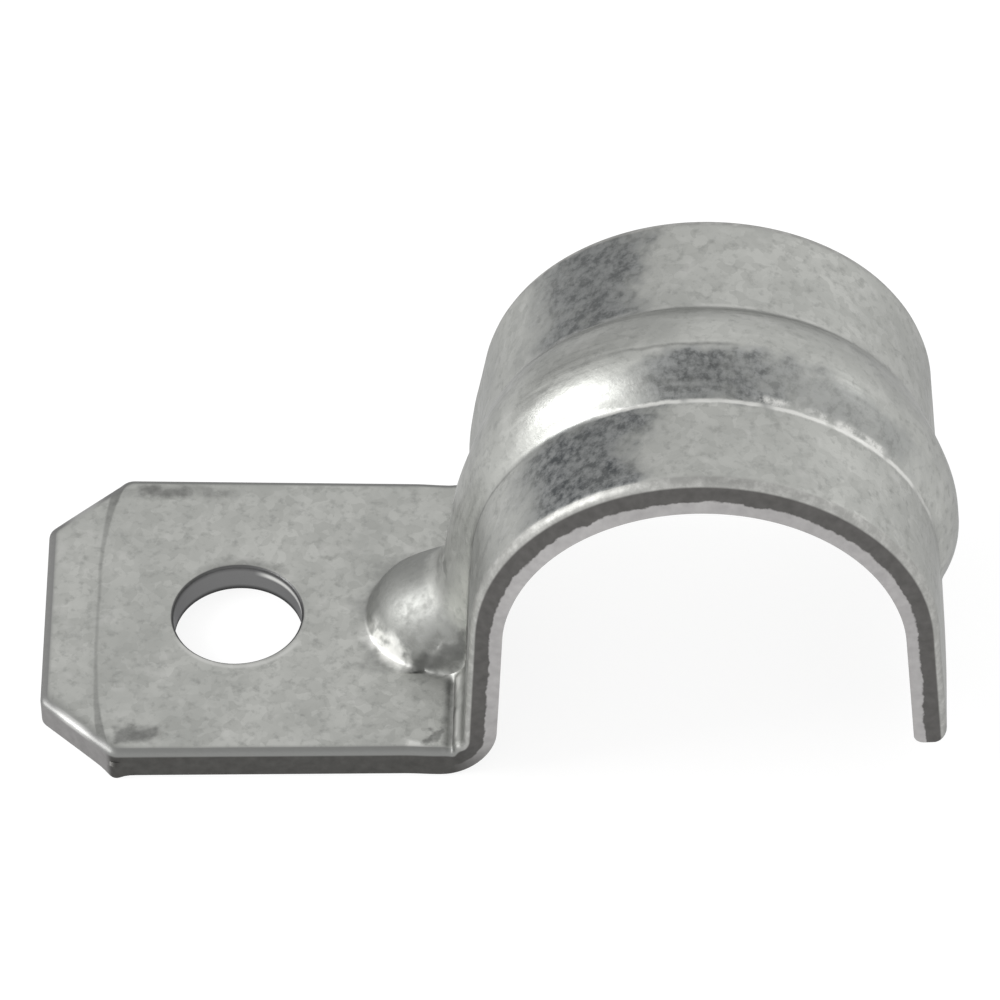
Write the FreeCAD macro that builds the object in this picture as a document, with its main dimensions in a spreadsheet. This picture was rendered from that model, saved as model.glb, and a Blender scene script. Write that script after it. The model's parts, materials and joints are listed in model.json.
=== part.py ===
import FreeCAD, Part
import Sketcher
import math
import os

# One-hole conduit strap, pressed in one piece from galvanised sheet steel.
# A flat foot takes the screw, the sheet folds up into a leg, runs over the
# conduit as a half-round saddle and ends in a short free leg.  A bead pressed
# outwards stiffens it: it starts as a dome in the inside corner between foot
# and leg, follows the saddle and dies out on the free leg.  The bead is
# hollow underneath, so the wall keeps one sheet thickness.
#
# Frame: origin on the screw's axis in the wall plane (the foot's underside),
# +X from the screw towards the saddle, +Y along the conduit, +Z off the wall.

DRIVING_SIZES = [
    # name, value in mm or degrees, what it is
    ("sheet_thickness", 1.8, "gauge of the sheet"),
    ("strap_width", 20.0, "width of the strip, along the conduit"),
    ("saddle_radius", 10.8, "inside radius of the saddle"),
    ("saddle_height", 10.4, "saddle axis above the wall plane"),
    ("hole_to_saddle", 25.7, "screw axis to saddle axis"),
    ("foot_end", 10.5, "screw axis to the end of the foot"),
    ("leg_splay", 3.5, "outward lean of both legs, degrees"),
    ("fold_radius", 1.3, "inside radius of the fold between foot and leg"),
    ("free_leg_gap", 2.8, "free leg's end above the wall plane"),
    ("screw_hole_diameter", 7.0, "clearance hole for the screw"),
    ("corner_cut_length", 4.3, "clipped corner of the foot, along X"),
    ("corner_cut_width", 3.8, "clipped corner of the foot, along Y"),
    ("corner_rounding", 0.7, "plan radius of the foot's four blunt corners"),
    ("bead_width", 7.2, "bead at the strip's outer surface"),
    ("bead_height", 1.15, "bead above the strip's outer surface"),
    ("bead_end_gap", 2.7, "end of the bead to the end of the free leg"),
    ("dome_radius", 4.5, "outside radius of the dome on the fold"),
    ("dome_offset", 1.4, "dome centre out from the foot of the leg"),
    ("dome_height", 0.9, "dome centre above the wall plane"),
    ("crease_blend", 0.6, "radius where bead and dome meet the strip"),
    ("edge_rounding", 0.35, "rounding of the strip's outer edges"),
    ("end_rounding", 0.7, "rounding of the free leg's end"),
]

doc = FreeCAD.newDocument("conduit_strap")
sheet = doc.addObject("Spreadsheet::Sheet", "Sizes")
for row, (alias, value, meaning) in enumerate(DRIVING_SIZES, start=1):
    sheet.set("A%d" % row, meaning)
    sheet.set("B%d" % row, str(value))
    sheet.setAlias("B%d" % row, alias)
doc.recompute()


def size(alias):
    return float(sheet.get(alias))


# Start places for the sketches, worked out from the sheet; the sketches'
# own constraints then hold the geometry.
thickness = size("sheet_thickness")
splay = math.radians(size("leg_splay"))
saddle_axis = FreeCAD.Vector(size("hole_to_saddle"), size("saddle_height"), 0)
inside_radius = size("saddle_radius")
outside_radius = inside_radius + thickness
# The bead is a round of this radius, centred below the sheet's outer surface.
bead_form_radius = ((size("bead_width") / 2) ** 2 + size("bead_height") ** 2) / (2 * size("bead_height"))
bead_end_drop = size("bead_end_gap") + size("bead_width") / 2
fixed_leg_run = (saddle_axis.y - thickness / 3) / math.cos(splay) + outside_radius * math.tan(splay)
free_leg_run = (saddle_axis.y - size("free_leg_gap")) / math.cos(splay) + inside_radius * math.tan(splay) \
    - bead_end_drop

# The same lengths as expressions, for the constraints.
OUTSIDE_RADIUS = "(Sizes.saddle_radius + Sizes.sheet_thickness)"
BEAD_FORM = "(Sizes.bead_width ^ 2 / 4 + Sizes.bead_height ^ 2) / (2 * Sizes.bead_height)"
BEAD_FORM_INSIDE = "(%s - Sizes.sheet_thickness)" % BEAD_FORM
BEAD_CENTRE = "%s - (%s - Sizes.bead_height)" % (OUTSIDE_RADIUS, BEAD_FORM)
# Depths below the outer surface, as shares of the sheet: still inside it, and well through it.
HIDDEN_IN_SHEET = 0.5
CLEAR_OF_SHEET = 1.6
FIXED_LEG_RUN = ("((Sizes.saddle_height - Sizes.sheet_thickness / 3) / cos(Sizes.leg_splay * 1 deg)"
                 " + %s * tan(Sizes.leg_splay * 1 deg))" % OUTSIDE_RADIUS)
FREE_LEG_RUN = ("((Sizes.saddle_height - Sizes.free_leg_gap) / cos(Sizes.leg_splay * 1 deg)"
                " + Sizes.saddle_radius * tan(Sizes.leg_splay * 1 deg)"
                " - Sizes.bead_end_gap - Sizes.bead_width / 2)")


def along(side):
    """Direction down a leg; side is -1 for the fixed leg and +1 for the free one."""
    return FreeCAD.Vector(side * math.sin(splay), -math.cos(splay), 0)


def outward(side):
    """Direction out of a leg's face, away from the conduit."""
    return FreeCAD.Vector(side * math.cos(splay), math.sin(splay), 0)


def leg_start(side, radius):
    return saddle_axis + outward(side) * radius


def leg_point_at(side, radius, height):
    start = leg_start(side, radius)
    return start + along(side) * ((start.y - height) / math.cos(splay))


fold_centre_height = thickness + size("fold_radius")
fold_on_leg = leg_point_at(-1, outside_radius, fold_centre_height + size("fold_radius") * math.sin(splay))
fold_centre = fold_on_leg + outward(-1) * size("fold_radius")
free_end_outer = leg_point_at(1, outside_radius, size("free_leg_gap") + thickness * math.sin(splay))
free_end_inner = free_end_outer - outward(1) * thickness

body = doc.addObject("PartDesign::Body", "conduit_strap")
body.Label = "conduit_strap"


def origin_plane(role):
    for feature in body.Origin.OriginFeatures:
        if feature.Role == role:
            return feature
    raise RuntimeError("no origin plane " + role)


def new_sketch(name, role):
    sketch = body.newObject("Sketcher::SketchObject", name)
    sketch.AttachmentSupport = [(origin_plane(role), "")]
    sketch.MapMode = "FlatFace"
    return sketch


def bind(sketch, name, expression, *constraint):
    """Adds a dimension and ties it to the sheet."""
    index = sketch.addConstraint(Sketcher.Constraint(*constraint))
    sketch.renameConstraint(index, name)
    sketch.setExpression("Constraints." + name, expression)


def relate(sketch, *constraint):
    sketch.addConstraint(Sketcher.Constraint(*constraint))


def add_line(sketch, start, end, construction=False):
    return sketch.addGeometry(Part.LineSegment(start, end), construction)


def add_arc(sketch, centre, radius, first, last):
    """Arc drawn anticlockwise between two directions, in radians."""
    circle = Part.Circle(centre, FreeCAD.Vector(0, 0, 1), radius)
    return sketch.addGeometry(Part.ArcOfCircle(circle, first, last), False)


def direction_angle(vector):
    return math.atan2(vector.y, vector.x)


# Sketcher's numbers for a line's or arc's points, and for a sketch's own axes.
START, END, CENTRE = range(1, 4)
X_AXIS, Y_AXIS = range(-1, -3, -1)


def fold_and_saddle(sketch, radius, saddle_expression, fold_radius, fold_expression, free_end):
    """Draws fold, fixed leg, saddle and free leg of one face of the sheet, all tangent, and returns them."""
    angle_out = direction_angle(outward(-1))
    leg_foot = fold_centre - outward(-1) * fold_radius
    fold = add_arc(sketch, fold_centre, fold_radius, -math.pi / 2, angle_out - math.pi)
    leg = add_line(sketch, leg_foot, leg_start(-1, radius))
    saddle = add_arc(sketch, saddle_axis, radius, splay, math.pi - splay)
    free_leg = add_line(sketch, leg_start(1, radius), free_end)
    relate(sketch, "Tangent", fold, END, leg, START)
    relate(sketch, "Tangent", leg, END, saddle, END)
    relate(sketch, "Tangent", saddle, START, free_leg, START)
    bind(sketch, "saddle_x", "Sizes.hole_to_saddle", "DistanceX", saddle, CENTRE, saddle_axis.x)
    bind(sketch, "saddle_z", "Sizes.saddle_height", "DistanceY", saddle, CENTRE, saddle_axis.y)
    bind(sketch, "saddle_r", saddle_expression, "Radius", saddle, radius)
    bind(sketch, "fold_r", fold_expression, "Radius", fold, fold_radius)
    bind(sketch, "leg_lean", "(90 - Sizes.leg_splay) * 1 deg", "Angle", leg, math.pi / 2 - splay)
    bind(sketch, "free_lean", "(Sizes.leg_splay - 90) * 1 deg", "Angle", free_leg, splay - math.pi / 2)
    return fold, leg, saddle, free_leg


def outside_sketch():
    """Outside of the folded strip, closed straight across underneath."""
    sketch = new_sketch("outside_profile", "XZ_Plane")
    fold, leg, saddle, free_leg = fold_and_saddle(
        sketch, outside_radius, OUTSIDE_RADIUS, size("fold_radius"), "Sizes.fold_radius", free_end_outer)
    foot_low = FreeCAD.Vector(-size("foot_end"), 0, 0)
    foot_high = FreeCAD.Vector(-size("foot_end"), thickness, 0)
    under_saddle = FreeCAD.Vector(saddle_axis.x, 0, 0)
    end_face = add_line(sketch, free_end_outer, free_end_inner)
    across = add_line(sketch, free_end_inner, under_saddle)
    underside = add_line(sketch, under_saddle, foot_low)
    foot_face = add_line(sketch, foot_low, foot_high)
    foot_top = add_line(sketch, foot_high, FreeCAD.Vector(fold_centre.x, thickness, 0))
    relate(sketch, "Tangent", foot_top, END, fold, START)
    relate(sketch, "Coincident", free_leg, END, end_face, START)
    relate(sketch, "Coincident", end_face, END, across, START)
    relate(sketch, "Coincident", across, END, underside, START)
    relate(sketch, "Coincident", underside, END, foot_face, START)
    relate(sketch, "Coincident", foot_face, END, foot_top, START)
    relate(sketch, "Perpendicular", free_leg, end_face)
    relate(sketch, "Horizontal", underside)
    relate(sketch, "Vertical", foot_face)
    relate(sketch, "Horizontal", foot_top)
    relate(sketch, "PointOnObject", underside, END, X_AXIS)
    bind(sketch, "foot_end", "-Sizes.foot_end", "DistanceX", underside, END, foot_low.x)
    bind(sketch, "foot_gauge", "Sizes.sheet_thickness", "DistanceY", foot_face, START, foot_face, END, thickness)
    bind(sketch, "end_gauge", "Sizes.sheet_thickness", "Distance", end_face, thickness)
    bind(sketch, "end_gap", "Sizes.free_leg_gap", "DistanceY", end_face, END, size("free_leg_gap"))
    bind(sketch, "closing_x", "Sizes.hole_to_saddle", "DistanceX", across, END, saddle_axis.x)
    return sketch


def inside_sketch():
    """Inside of the folded strip: the conduit's space, open towards the wall."""
    sketch = new_sketch("inside_profile", "XZ_Plane")
    below = -thickness
    low_right = leg_point_at(1, inside_radius, below)
    fold, leg, saddle, free_leg = fold_and_saddle(
        sketch, inside_radius, "Sizes.saddle_radius",
        fold_centre_height, "Sizes.fold_radius + Sizes.sheet_thickness", low_right)
    low_left = FreeCAD.Vector(fold_centre.x, below, 0)
    floor = add_line(sketch, low_right, low_left)
    rise = add_line(sketch, low_left, FreeCAD.Vector(fold_centre.x, 0, 0))
    relate(sketch, "Coincident", free_leg, END, floor, START)
    relate(sketch, "Coincident", floor, END, rise, START)
    relate(sketch, "Coincident", rise, END, fold, START)
    relate(sketch, "Horizontal", floor)
    relate(sketch, "Vertical", rise)
    relate(sketch, "PointOnObject", rise, END, X_AXIS)
    relate(sketch, "Vertical", fold, START, fold, CENTRE)
    bind(sketch, "below", "Sizes.sheet_thickness", "DistanceY", rise, START, rise, END, thickness)
    return sketch


def bead_sketch(name, side, run=0, run_expression="0"):
    """Sketch on a plane through the saddle's axis: x along the conduit, y out through the sheet.

    Side 0 is the top of the saddle, -1 and +1 are where the fixed and the free leg start;
    run moves the plane down that leg.
    """
    sketch = new_sketch(name, "YZ_Plane")
    base = saddle_axis + along(side) * run
    turn = FreeCAD.Rotation(FreeCAD.Vector(side or 1, 0, 0), (90 - size("leg_splay")) * abs(side))
    sketch.AttachmentOffset = FreeCAD.Placement(FreeCAD.Vector(0, base.y, base.x), turn)
    shift = "(%s) * %s" % (run_expression, "%s(Sizes.leg_splay * 1 deg)")
    sketch.setExpression("AttachmentOffset.Base.y", "Sizes.saddle_height - " + shift % "cos")
    sketch.setExpression("AttachmentOffset.Base.z", "Sizes.hole_to_saddle + " + shift % "sin")
    if side:
        sketch.setExpression("AttachmentOffset.Rotation.Angle", "(90 - Sizes.leg_splay) * 1 deg")
    return sketch


def add_flare(sketch, name, side, round_centre, round_radius, surface, arc, level):
    """Blends a round into the surface below it, then drops to level; returns the drop's line.

    The round is an existing arc; side +1 blends its start, -1 its end.
    """
    blend = size("crease_blend")
    reach = math.sqrt((round_radius + blend) ** 2 - (surface + blend - round_centre.y) ** 2)
    centre = FreeCAD.Vector(round_centre.x + side * reach, surface + blend, 0)
    touch = math.atan2(surface + blend - round_centre.y, reach)
    if side > 0:
        flare = add_arc(sketch, centre, blend, touch + math.pi, 1.5 * math.pi)
        round_end, touch_end, surface_end = START, START, END
    else:
        flare = add_arc(sketch, centre, blend, -math.pi / 2, -touch)
        round_end, touch_end, surface_end = END, END, START
    drop = add_line(sketch, FreeCAD.Vector(centre.x, surface, 0), FreeCAD.Vector(centre.x, level, 0))
    relate(sketch, "Tangent", arc, round_end, flare, touch_end)
    relate(sketch, "Vertical", flare, CENTRE, flare, surface_end)
    relate(sketch, "Coincident", flare, surface_end, drop, START)
    relate(sketch, "Vertical", drop)
    bind(sketch, name + "_blend", "Sizes.crease_blend", "Radius", flare, blend)
    return drop


def bead_section(sketch, inner, half=False):
    """Section of the bead's outside, or of the hollow under it; half of it for what is turned."""
    form_radius = bead_form_radius - (thickness if inner else 0)
    centre = FreeCAD.Vector(0, outside_radius + size("bead_height") - bead_form_radius, 0)
    level = outside_radius - thickness * (CLEAR_OF_SHEET if inner else HIDDEN_IN_SHEET)
    if inner:
        first = math.asin((level - centre.y) / form_radius)
        reach = form_radius * math.cos(first)
    else:
        reach = math.sqrt((form_radius + size("crease_blend")) ** 2
                          - (outside_radius + size("crease_blend") - centre.y) ** 2)
        first = math.atan2(outside_radius + size("crease_blend") - centre.y, reach)
    arc = add_arc(sketch, centre, form_radius, first, math.pi / 2 if half else math.pi - first)
    chord = add_line(sketch, FreeCAD.Vector(0 if half else -reach, level, 0), FreeCAD.Vector(reach, level, 0))
    relate(sketch, "Horizontal", chord)
    relate(sketch, "PointOnObject", arc, CENTRE, Y_AXIS)
    ends = ((1, END, START),) if half else ((1, END, START), (-1, START, END))
    for side, chord_end, arc_end in ends:
        if inner:
            relate(sketch, "Coincident", chord, chord_end, arc, arc_end)
            continue
        name = "right" if side > 0 else "left"
        drop = add_flare(sketch, name, side, centre, form_radius, outside_radius, arc, level)
        relate(sketch, "Coincident", chord, chord_end, drop, END)
        bind(sketch, name + "_surface", OUTSIDE_RADIUS, "DistanceY", drop, START, outside_radius)
    if half:
        axis = add_line(sketch, centre + FreeCAD.Vector(0, form_radius, 0), FreeCAD.Vector(0, level, 0))
        relate(sketch, "Coincident", arc, END, axis, START)
        relate(sketch, "Coincident", axis, END, chord, START)
        relate(sketch, "PointOnObject", axis, START, Y_AXIS)
        relate(sketch, "PointOnObject", axis, END, Y_AXIS)
    bind(sketch, "form_r", BEAD_FORM_INSIDE if inner else BEAD_FORM, "Radius", arc, form_radius)
    bind(sketch, "form_z", BEAD_CENTRE, "DistanceY", arc, CENTRE, centre.y)
    bind(sketch, "chord_z", "%s - Sizes.sheet_thickness * %s" % (
        OUTSIDE_RADIUS, CLEAR_OF_SHEET if inner else HIDDEN_IN_SHEET), "DistanceY", chord, END, level)
    return sketch


def leg_face_x(height):
    """Outer face of the fixed leg at a height above the wall, as an expression."""
    return ("(Sizes.hole_to_saddle - %s / cos(Sizes.leg_splay * 1 deg)"
            " - (Sizes.saddle_height - %s) * tan(Sizes.leg_splay * 1 deg))" % (OUTSIDE_RADIUS, height))


dome_centre = FreeCAD.Vector(leg_point_at(-1, outside_radius, thickness).x - size("dome_offset"),
                             size("dome_height"), 0)


def dome_section(inner):
    """Half section of the dome's outside or of the hollow under it, to be turned about its upright axis."""
    sketch = new_sketch("dome_hollow_section" if inner else "dome_section", "XZ_Plane")
    radius = size("dome_radius") - (thickness if inner else 0)
    top = dome_centre + FreeCAD.Vector(0, radius, 0)
    if inner:
        first = -math.pi / 2
        bottom = dome_centre - FreeCAD.Vector(0, radius, 0)
    else:
        reach = math.sqrt((radius + size("crease_blend")) ** 2
                          - (thickness + size("crease_blend") - dome_centre.y) ** 2)
        first = math.atan2(thickness + size("crease_blend") - dome_centre.y, reach)
        bottom = FreeCAD.Vector(dome_centre.x, 0, 0)
    arc = add_arc(sketch, dome_centre, radius, first, math.pi / 2)
    axis = add_line(sketch, top, bottom)
    relate(sketch, "Coincident", arc, END, axis, START)
    relate(sketch, "Vertical", axis)
    relate(sketch, "PointOnObject", arc, CENTRE, axis)
    if inner:
        relate(sketch, "Coincident", axis, END, arc, START)
    else:
        drop = add_flare(sketch, "foot", 1, dome_centre, radius, thickness, arc, 0)
        base = add_line(sketch, bottom, bottom + FreeCAD.Vector(reach, 0, 0))
        relate(sketch, "Coincident", axis, END, base, START)
        relate(sketch, "Coincident", base, END, drop, END)
        relate(sketch, "PointOnObject", base, START, X_AXIS)
        relate(sketch, "PointOnObject", base, END, X_AXIS)
        bind(sketch, "foot_surface", "Sizes.sheet_thickness", "DistanceY", drop, START, thickness)
    bind(sketch, "dome_r", "Sizes.dome_radius - Sizes.sheet_thickness" if inner else "Sizes.dome_radius",
         "Radius", arc, radius)
    bind(sketch, "dome_x", leg_face_x("Sizes.sheet_thickness") + " - Sizes.dome_offset",
         "DistanceX", arc, CENTRE, dome_centre.x)
    bind(sketch, "dome_z", "Sizes.dome_height", "DistanceY", arc, CENTRE, dome_centre.y)
    return sketch


def turned(kind, name, sketch, axis, angle_expression=None):
    """Revolution or Groove, a full turn unless an angle is given."""
    feature = body.newObject("PartDesign::" + kind, name)
    feature.Profile = sketch
    feature.ReferenceAxis = (sketch, [axis])
    feature.Angle = 360
    if angle_expression:
        feature.Midplane = True
        feature.setExpression("Angle", angle_expression)
    doc.recompute()


def straight(kind, name, sketch, length_expression, backwards=False):
    """Pad or Pocket of a bound length."""
    feature = body.newObject("PartDesign::" + kind, name)
    feature.Profile = sketch
    feature.Reversed = backwards
    feature.setExpression("Length", length_expression)
    doc.recompute()


def through_cut(name, sketch):
    feature = body.newObject("PartDesign::Pocket", name)
    feature.Profile = sketch
    feature.Type = "ThroughAll"
    feature.Midplane = True
    doc.recompute()


def rounded(name, edges, radius_name):
    if not edges:
        raise RuntimeError("no edges to round for " + name)
    feature = body.newObject("PartDesign::Fillet", name)
    feature.Base = (feature.BaseFeature, edges)
    feature.setExpression("Radius", "Sizes." + radius_name)
    doc.recompute()


def pressed_bead(prefix, straight_kind, turned_kind):
    """The bead's outside (padded) or the hollow under it (cut): over the saddle, down both legs, ball end."""
    inner = straight_kind == "Pocket"
    over = bead_section(bead_sketch(prefix + "_section_top", 0), inner)
    fixed = bead_section(bead_sketch(prefix + "_section_fixed_leg", -1), inner)
    free = bead_section(bead_sketch(prefix + "_section_free_leg", 1), inner)
    ball = bead_section(bead_sketch(prefix + "_section_ball", 1, free_leg_run, FREE_LEG_RUN), inner, half=True)
    doc.recompute()
    turned(turned_kind, prefix + "_over_saddle", over, "H_Axis", "(180 - 2 * Sizes.leg_splay) * 1 deg")
    straight(straight_kind, prefix + "_on_fixed_leg", fixed, FIXED_LEG_RUN, not inner)
    straight(straight_kind, prefix + "_on_free_leg", free, FREE_LEG_RUN, inner)
    turned(turned_kind, prefix + "_ball_end", ball, "V_Axis")


def hole_sketch():
    sketch = new_sketch("screw_hole_outline", "XY_Plane")
    radius = size("screw_hole_diameter") / 2
    circle = sketch.addGeometry(Part.Circle(FreeCAD.Vector(0, 0, 0), FreeCAD.Vector(0, 0, 1), radius), False)
    relate(sketch, "Coincident", circle, CENTRE, X_AXIS, START)
    bind(sketch, "hole_diameter", "Sizes.screw_hole_diameter", "Diameter", circle, 2 * radius)
    return sketch


def corner_sketch():
    """Two triangles that clip the foot's corners."""
    sketch = new_sketch("corner_clips", "XY_Plane")
    end_x = -size("foot_end")
    edge_y = size("strap_width") / 2
    for name, side in (("front", -1), ("back", 1)):
        corner = FreeCAD.Vector(end_x, side * edge_y, 0)
        on_edge = corner + FreeCAD.Vector(size("corner_cut_length"), 0, 0)
        on_end = corner - FreeCAD.Vector(0, side * size("corner_cut_width"), 0)
        along_edge = add_line(sketch, corner, on_edge)
        clip = add_line(sketch, on_edge, on_end)
        along_end = add_line(sketch, on_end, corner)
        relate(sketch, "Coincident", along_edge, END, clip, START)
        relate(sketch, "Coincident", clip, END, along_end, START)
        relate(sketch, "Coincident", along_end, END, along_edge, START)
        relate(sketch, "Horizontal", along_edge)
        relate(sketch, "Vertical", along_end)
        bind(sketch, name + "_x", "-Sizes.foot_end", "DistanceX", along_edge, START, corner.x)
        bind(sketch, name + "_y", "%d * Sizes.strap_width / 2" % side, "DistanceY", along_edge, START, corner.y)
        bind(sketch, name + "_length", "Sizes.corner_cut_length", "DistanceX",
             along_edge, START, along_edge, END, size("corner_cut_length"))
        low, high = sorted(((along_end, START, on_end.y), (along_end, END, corner.y)), key=lambda end: end[2])
        bind(sketch, name + "_width", "Sizes.corner_cut_width", "DistanceY",
             low[0], low[1], high[0], high[1], size("corner_cut_width"))
    return sketch


def end_corner_sketch():
    """What is cut away to round the free leg's end, one piece on each face of the sheet."""
    sketch = new_sketch("free_end_outline", "XZ_Plane")
    radius = size("end_rounding")
    inner_x = ("Sizes.hole_to_saddle + Sizes.saddle_radius / cos(Sizes.leg_splay * 1 deg)"
               " + (Sizes.saddle_height - Sizes.free_leg_gap) * tan(Sizes.leg_splay * 1 deg)")
    faces = (("outer", 1, thickness - radius, "(Sizes.sheet_thickness - Sizes.end_rounding)"),
             ("inner", -1, radius, "Sizes.end_rounding"))
    for name, side, depth, depth_expression in faces:
        centre = free_end_inner + outward(1) * depth - along(1) * radius
        out = outward(1) * side
        turns = sorted((direction_angle(out) % (2 * math.pi), direction_angle(along(1)) % (2 * math.pi)))
        if side > 0:
            turns = [turns[1], turns[0] + 2 * math.pi]
        arc = add_arc(sketch, centre, radius, *turns)
        face_end, tip_end = (END, START) if side > 0 else (START, END)
        off_face = add_line(sketch, centre + out * radius, centre + out * radius * 2.5)
        across = add_line(sketch, centre + out * radius * 2.5, centre + along(1) * radius * 2.5)
        off_tip = add_line(sketch, centre + along(1) * radius * 2.5, centre + along(1) * radius)
        relate(sketch, "Coincident", arc, face_end, off_face, START)
        relate(sketch, "Coincident", off_face, END, across, START)
        relate(sketch, "Coincident", across, END, off_tip, START)
        relate(sketch, "Coincident", off_tip, END, arc, tip_end)
        relate(sketch, "PointOnObject", arc, CENTRE, off_face)
        relate(sketch, "PointOnObject", arc, CENTRE, off_tip)
        relate(sketch, "Perpendicular", off_face, off_tip)
        relate(sketch, "Equal", off_face, off_tip)
        bind(sketch, name + "_lean", "Sizes.leg_splay * 1 deg + %d deg" % (0 if side > 0 else 180),
             "Angle", off_face, direction_angle(out) % (2 * math.pi))
        bind(sketch, name + "_reach", "Sizes.end_rounding * 1.5", "Distance", off_face, radius * 1.5)
        bind(sketch, name + "_r", "Sizes.end_rounding", "Radius", arc, radius)
        bind(sketch, name + "_x", "%s + %s * cos(Sizes.leg_splay * 1 deg) - Sizes.end_rounding"
             " * sin(Sizes.leg_splay * 1 deg)" % (inner_x, depth_expression), "DistanceX", arc, CENTRE, centre.x)
        bind(sketch, name + "_z", "Sizes.free_leg_gap + %s * sin(Sizes.leg_splay * 1 deg) + Sizes.end_rounding"
             " * cos(Sizes.leg_splay * 1 deg)" % depth_expression, "DistanceY", arc, CENTRE, centre.y)
    return sketch


NEAR = 0.001
half_width = size("strap_width") / 2
clip_inner_x = size("corner_cut_length") - size("foot_end")


def edges_where(wanted):
    edges = body.Tip.Shape.Edges
    return ["Edge%d" % number for number, edge in enumerate(edges, start=1) if edge.Length > NEAR and wanted(edge)]


def samples(edge):
    """Points along an edge, its middle third in the list."""
    span = edge.LastParameter - edge.FirstParameter
    return [edge.valueAt(edge.FirstParameter + span * share) for share in (0.05, 0.35, 0.65, 0.95)]


def spread(values):
    return max(values) - min(values)


def on_outside(point):
    """True on the outside profile, seen along the conduit."""
    return outside.Shape.distToShape(Part.Vertex(point.x, 0, point.z))[0] < NEAR


def is_upright(edge):
    """One of the foot's four blunt corners, standing through the sheet."""
    points = samples(edge)
    stands = spread([p.x for p in points]) < NEAR and spread([p.y for p in points]) < NEAR
    return stands and points[0].x < clip_inner_x + NEAR


def is_long_edge(edge):
    """Outer edge of the strip on either side, from foot to free end."""
    return all(abs(abs(p.y) - half_width) < NEAR and on_outside(p) and p.z > thickness - NEAR
               for p in samples(edge))


# Outside: the folded strip, filled underneath, with bead and dome standing on it.
outside = outside_sketch()
strip = body.newObject("PartDesign::Pad", "folded_strip")
strip.Profile = outside
strip.Midplane = True
strip.setExpression("Length", "Sizes.strap_width")
doc.recompute()
pressed_bead("bead", "Pad", "Revolution")
dome_outside = dome_section(inner=False)
doc.recompute()
turned("Revolution", "dome", dome_outside, "Edge2")

# Inside: everything one sheet thickness in is cut away, bead and dome included.
conduit_space = inside_sketch()
through_cut("conduit_space", conduit_space)
pressed_bead("hollow", "Pocket", "Groove")
dome_inside = dome_section(inner=True)
doc.recompute()
turned("Groove", "dome_hollow", dome_inside, "Edge2")

# Punched outline: clipped corners, screw hole.
through_cut("clipped_corners", corner_sketch())
through_cut("screw_hole", hole_sketch())

# Soft edges: the plan outline's corners, the sheared outer edges, the free end.
rounded("blunt_corners", edges_where(is_upright), "corner_rounding")
rounded("rolled_edges", edges_where(is_long_edge), "edge_rounding")
through_cut("free_end", end_corner_sketch())

# Nothing is written unless every object is sound and the strap is one solid.
for item in doc.Objects:
    if "Invalid" in item.State or "Error" in item.State:
        raise RuntimeError("%s did not compute: %s" % (item.Name, item.State))
    if item.TypeId == "Sketcher::SketchObject" and not item.FullyConstrained:
        raise RuntimeError("%s is not fully constrained" % item.Name)
    if item.TypeId.startswith("PartDesign::") and (item.Shape.isNull() or not item.Shape.isValid()):
        raise RuntimeError("%s has no valid shape" % item.Name)
if len(body.Shape.Solids) != 1:
    raise RuntimeError("the strap is not one solid")

os.makedirs("parts", exist_ok=True)
body.Shape.exportStep("parts/conduit_strap.step")
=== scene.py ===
import json
import math

import bpy
import numpy as np
from mathutils import Matrix, Vector


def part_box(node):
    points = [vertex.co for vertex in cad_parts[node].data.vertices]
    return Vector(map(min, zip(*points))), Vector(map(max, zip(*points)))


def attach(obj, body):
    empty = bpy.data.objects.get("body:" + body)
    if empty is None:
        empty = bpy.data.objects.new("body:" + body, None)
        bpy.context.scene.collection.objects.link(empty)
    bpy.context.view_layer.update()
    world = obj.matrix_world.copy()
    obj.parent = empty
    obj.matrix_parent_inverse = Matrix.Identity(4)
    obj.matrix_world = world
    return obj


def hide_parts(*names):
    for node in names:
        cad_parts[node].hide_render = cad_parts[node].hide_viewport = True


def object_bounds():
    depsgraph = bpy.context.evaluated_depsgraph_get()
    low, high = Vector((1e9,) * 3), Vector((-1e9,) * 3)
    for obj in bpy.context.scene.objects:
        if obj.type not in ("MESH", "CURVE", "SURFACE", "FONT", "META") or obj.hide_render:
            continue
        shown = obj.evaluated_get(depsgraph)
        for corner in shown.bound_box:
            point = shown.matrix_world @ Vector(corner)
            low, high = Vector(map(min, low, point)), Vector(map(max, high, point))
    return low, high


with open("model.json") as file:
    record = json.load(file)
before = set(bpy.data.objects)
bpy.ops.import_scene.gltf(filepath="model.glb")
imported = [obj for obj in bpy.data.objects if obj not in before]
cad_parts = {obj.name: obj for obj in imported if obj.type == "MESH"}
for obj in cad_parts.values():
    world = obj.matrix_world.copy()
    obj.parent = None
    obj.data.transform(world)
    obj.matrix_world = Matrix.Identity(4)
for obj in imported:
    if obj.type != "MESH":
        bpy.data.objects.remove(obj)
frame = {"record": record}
solid_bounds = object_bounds()

# ---------------------------------------------------------------------------
# The blank: a flat strip sheared from galvanised steel coil, with two clipped
# corners and a punched screw hole.  The die pulls its upper edge down round
# all along the cut, and leaves the lower edge sharp.
# ---------------------------------------------------------------------------
mounts = {mount["name"]: mount for mount in frame["record"]["mounts"]}
foot_low, strap_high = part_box("conduit_strap")
hole_radius = mounts["screw_hole"]["dims"]["r_mm"] / 1000
saddle_inner = mounts["conduit_saddle"]["dims"]["r_mm"] / 1000
saddle_x, _, saddle_z = mounts["conduit_saddle"]["pos_m"]
half_width = (strap_high.y - foot_low.y) / 2
foot_end = foot_low.x

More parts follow.
